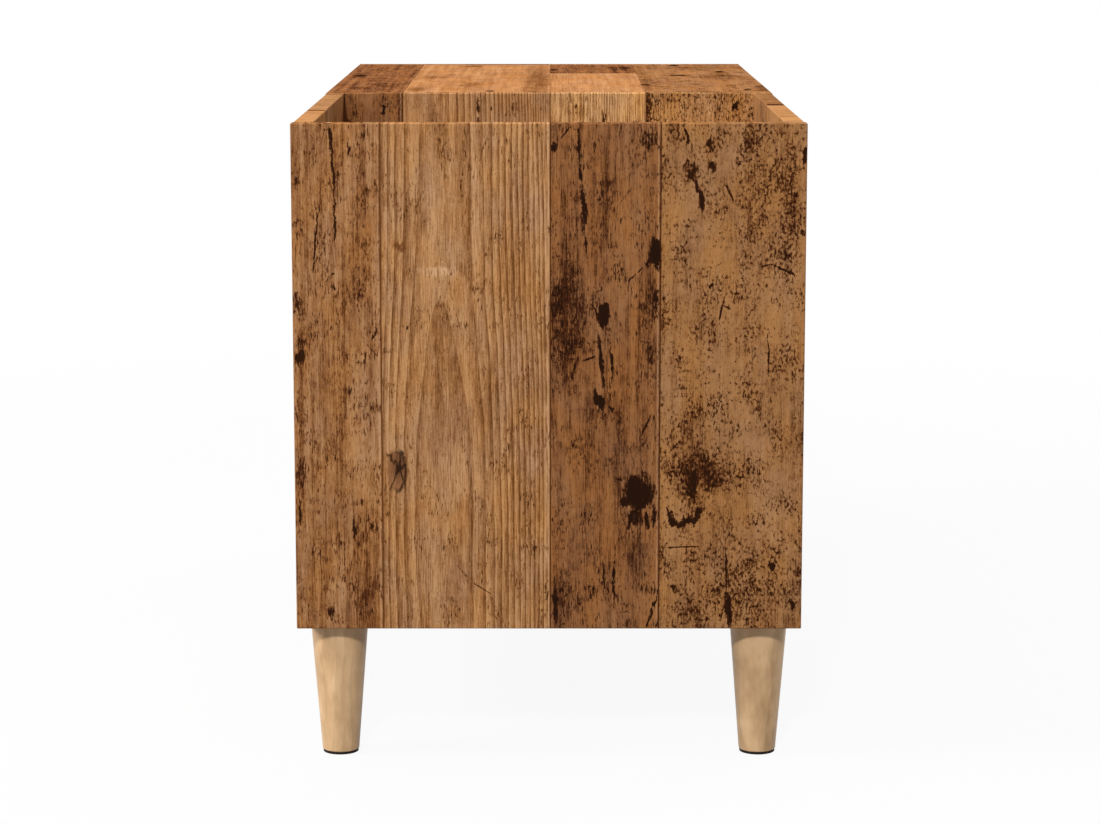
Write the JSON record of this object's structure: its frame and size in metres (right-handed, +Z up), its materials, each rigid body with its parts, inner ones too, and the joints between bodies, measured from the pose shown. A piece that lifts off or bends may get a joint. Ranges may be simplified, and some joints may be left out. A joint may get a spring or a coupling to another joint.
{
  "type": "record cabinet",
  "caption": "Low record cabinet on tapered legs, with an open-topped record bin at one end and a covered bay, open at the front, beside it.",
  "frame": {"origin": "on the floor, under the middle of the cabinet", "axes": "+X towards the end with the open record bin, -Y towards the open front of the bay, +Z up"},
  "size_m": [0.85, 0.38, 0.484],
  "materials": {
    "old_wood_board": "particle board with a matt print of old reclaimed planks",
    "hardboard": "thin hardboard with the same matt print",
    "leg_wood": "pale solid wood with a clear satin lacquer",
    "dowel_wood": "bare beech",
    "cam_zinc": "dull die-cast zinc",
    "zinc_steel": "zinc plated",
    "foot_pad": "matt black"
  },
  "bodies": {
    "root": {"bay_back_panel": "hardboard", "bin_back_cam_locks": "cam_zinc", "bin_back_end_dowels": "dowel_wood", "bin_back_foot_dowels": "dowel_wood", "bin_back_panel": "old_wood_board", "bin_front_cam_locks": "cam_zinc", "bin_front_end_dowels": "dowel_wood", "bin_front_foot_dowels": "dowel_wood", "bin_front_panel": "old_wood_board", "bottom_cam_locks_bay": "cam_zinc", "bottom_cam_locks_bin": "cam_zinc", "bottom_dowels_bay": "dowel_wood", "bottom_dowels_bin": "dowel_wood", "bottom_panel": "old_wood_board", "divider_bay_side_cam_bolts": "zinc_steel", "divider_bin_side_cam_bolts": "zinc_steel", "divider_foot_dowels": "dowel_wood", "divider_panel": "old_wood_board", "divider_screws": "zinc_steel", "end_panel_bay": "old_wood_board", "end_panel_bay_cam_bolts": "zinc_steel", "end_panel_bin": "old_wood_board", "end_panel_bin_cam_bolts": "zinc_steel", "foot_pad_back_bay": "foot_pad", "foot_pad_back_bin": "foot_pad", "foot_pad_front_bay": "foot_pad", "foot_pad_front_bin": "foot_pad", "hanger_bolt_back_bay": "zinc_steel", "hanger_bolt_back_bin": "zinc_steel", "hanger_bolt_front_bay": "zinc_steel", "hanger_bolt_front_bin": "zinc_steel", "insert_nut_back_bay": "zinc_steel", "insert_nut_back_bin": "zinc_steel", "insert_nut_front_bay": "zinc_steel", "insert_nut_front_bin": "zinc_steel", "leg_back_bay": "leg_wood", "leg_back_bin": "leg_wood", "leg_front_bay": "leg_wood", "leg_front_bin": "leg_wood", "top_cam_locks": "cam_zinc", "top_dowels": "dowel_wood", "top_panel": "old_wood_board"}
  },
  "joints": []
}
